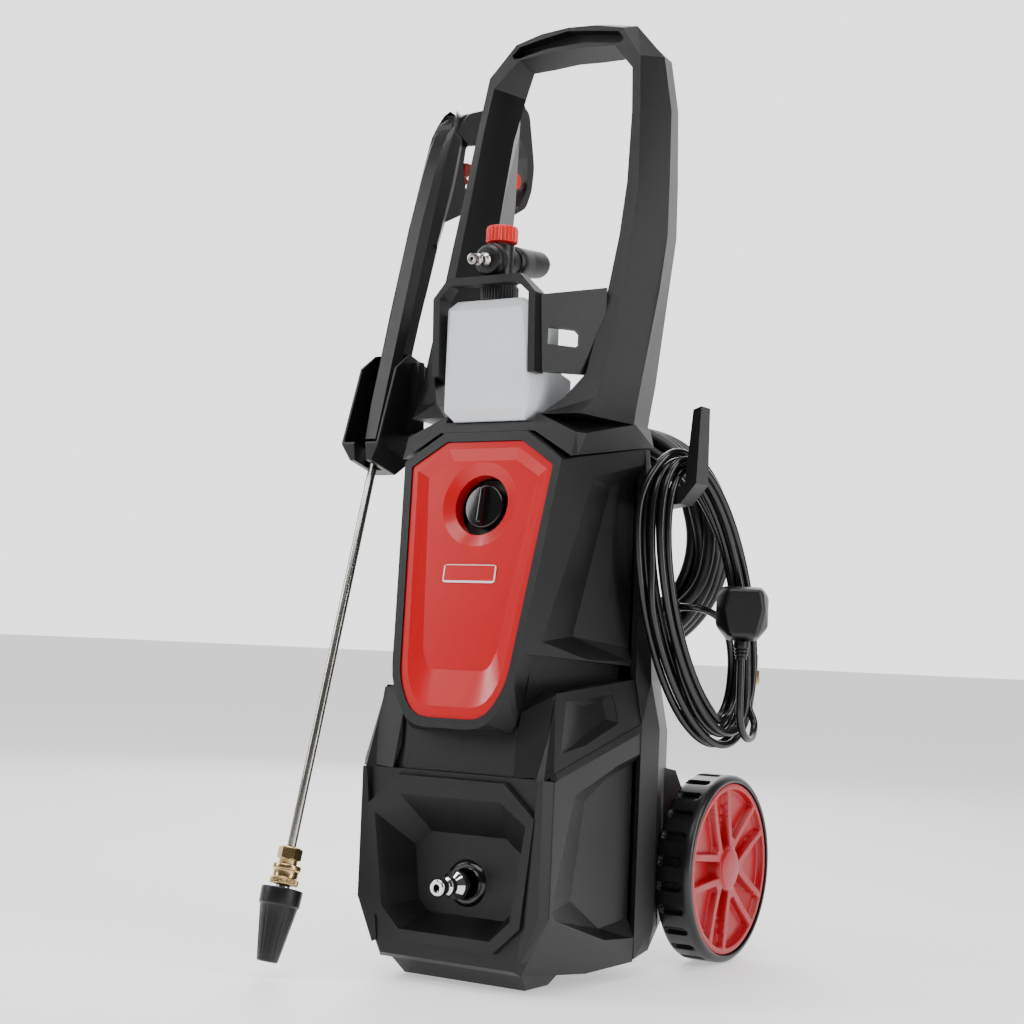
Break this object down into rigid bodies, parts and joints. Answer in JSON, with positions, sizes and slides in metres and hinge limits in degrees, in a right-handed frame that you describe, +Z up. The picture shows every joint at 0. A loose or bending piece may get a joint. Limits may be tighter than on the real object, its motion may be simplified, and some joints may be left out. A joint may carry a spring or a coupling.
{
  "type": "pressure washer",
  "caption": "Upright wheeled electric pressure washer with push handle, spray gun and lance in a side holder, foam bottle, mains lead and high-pressure hose on hooks.",
  "frame": {"origin": "centre of the front foot's sole, on the floor plane", "axes": "+Z up, -Y the front with the red panel, +X to the right when looking at the front"},
  "size_m": [0.3366, 0.463, 0.874],
  "materials": {
    "black_moulding": "textured matte black",
    "red_gloss": "glossy red",
    "badge": "satin light grey",
    "black_gloss": "glossy black",
    "black_soft": "satin black",
    "chrome": "polished",
    "brass": "machined",
    "steel": "brushed",
    "tyre": "moulded black",
    "bottle": "translucent white",
    "orange": "satin orange red",
    "cord": "glossy black sheath",
    "hose": "satin black",
    "iron": "painted",
    "aluminium": "as cast"
  },
  "bodies": {
    "machine": {"front_housing": "black_moulding", "front_panel": "red_gloss", "badge_plate": "badge", "switch_box": "black_soft", "outlet_ring": "black_gloss", "outlet_spigot": "chrome", "rear_housing": "black_moulding", "front_foot": "black_moulding", "axle": "steel", "handle_frame": "black_moulding", "bottle_hood": "black_moulding", "gun_holder": "black_moulding", "holder_bracket": "black_moulding", "cable_hook": "black_moulding", "cable_clip": "black_moulding", "hose_hook": "black_moulding", "lead_hank": "cord", "lead_gland": "black_soft", "lead_tail": "cord", "plug_body": "black_soft", "plug_pin_earth": "brass", "plug_pin_left": "brass", "plug_pin_right": "brass", "plug_strain_relief": "black_soft", "lead_plug_tail": "cord", "hose_coil": "hose", "hose_tail_gun": "hose", "hose_fitting_gun": "brass", "hose_tail_machine": "hose", "hose_fitting_machine": "brass", "motor_can": "iron", "motor_fan_cover": "black_soft", "pump_body": "aluminium", "pump_head": "aluminium", "outlet_pipe": "brass", "capacitor": "aluminium", "inlet_connector": "black_gloss", "inlet_pipe": "hose"},
    "knob": {"switch_knob": "black_gloss"},
    "left_wheel": {"left_tyre": "tyre", "left_wheel_hub": "red_gloss", "left_wheel_cap": "red_gloss"},
    "right_wheel": {"right_tyre": "tyre", "right_wheel_hub": "red_gloss", "right_wheel_cap": "red_gloss"},
    "foam_unit": {"foam_bottle": "bottle", "foam_bottle_cap": "black_soft", "foam_head_body": "black_soft", "foam_head_spigot": "chrome"},
    "foam_regulator": {"foam_regulator_knob": "orange"},
    "foam_spray": {"foam_nozzle": "black_soft"},
    "gun": {"gun_body": "black_soft", "gun_inlet": "brass", "lance_tube": "steel", "coupler_body": "brass"},
    "sleeve": {"coupler_sleeve": "brass"},
    "nozzle": {"nozzle_spigot": "chrome", "rotary_nozzle": "black_soft"},
    "trigger_lever": {"trigger": "red_gloss"},
    "trigger_catch": {"trigger_lock": "red_gloss"}
  },
  "joints": [
    {"name": "left_wheel_spin", "type": "hinge", "parent": "machine", "child": "left_wheel", "pos_m": [-0.106, 0.243, 0.0873], "axis": [1, 0, 0], "continuous": true},
    {"name": "right_wheel_spin", "type": "hinge", "parent": "machine", "child": "right_wheel", "pos_m": [0.106, 0.243, 0.0873], "axis": [1, 0, 0], "continuous": true},
    {"name": "switch_knob_turn", "type": "hinge", "parent": "machine", "child": "knob", "pos_m": [0, -0.03094, 0.40958], "axis": [0, -0.9871, 0.1599], "range_deg": [-90, 0]},
    {"name": "foam_unit_lift_out", "type": "slide", "parent": "machine", "child": "foam_unit", "axis": [0, 1, 0], "range_m": [0, 0.12]},
    {"name": "foam_regulator_turn", "type": "hinge", "parent": "foam_unit", "child": "foam_regulator", "pos_m": [0, -0.009, 0.65], "axis": [0, 0, 1], "range_deg": [0, 270]},
    {"name": "foam_spray_twist", "type": "hinge", "parent": "foam_unit", "child": "foam_spray", "pos_m": [0, -0.009, 0.626], "axis": [0, 0.989, 0.1478], "range_deg": [0, 90]},
    {"name": "gun_lift_out", "type": "slide", "parent": "machine", "child": "gun", "axis": [0, 0.2555, 0.9668], "range_m": [0, 0.15]},
    {"name": "coupler_sleeve_pull", "type": "slide", "parent": "gun", "child": "sleeve", "axis": [0, 0.2555, 0.9668], "range_m": [0, 0.003], "stiffness_N_per_m": 600, "springref_m": -0.004},
    {"name": "nozzle_swivel", "type": "hinge", "parent": "gun", "child": "nozzle", "pos_m": [-0.13, -0.11258, 0.05577], "axis": [0, 0.2555, 0.9668], "continuous": true},
    {"name": "trigger_pull", "type": "hinge", "parent": "gun", "child": "trigger_lever", "pos_m": [-0.13, 0.11354, 0.75108], "axis": [1, 0, 0], "range_deg": [0, 9], "stiffness_Nm_per_rad": 1.5, "springref_deg": -8.59},
    {"name": "trigger_lock_swing", "type": "hinge", "parent": "gun", "child": "trigger_catch", "pos_m": [-0.13, 0.11439, 0.74258], "axis": [-1, 0, 0], "range_deg": [0, 20]}
  ]
}
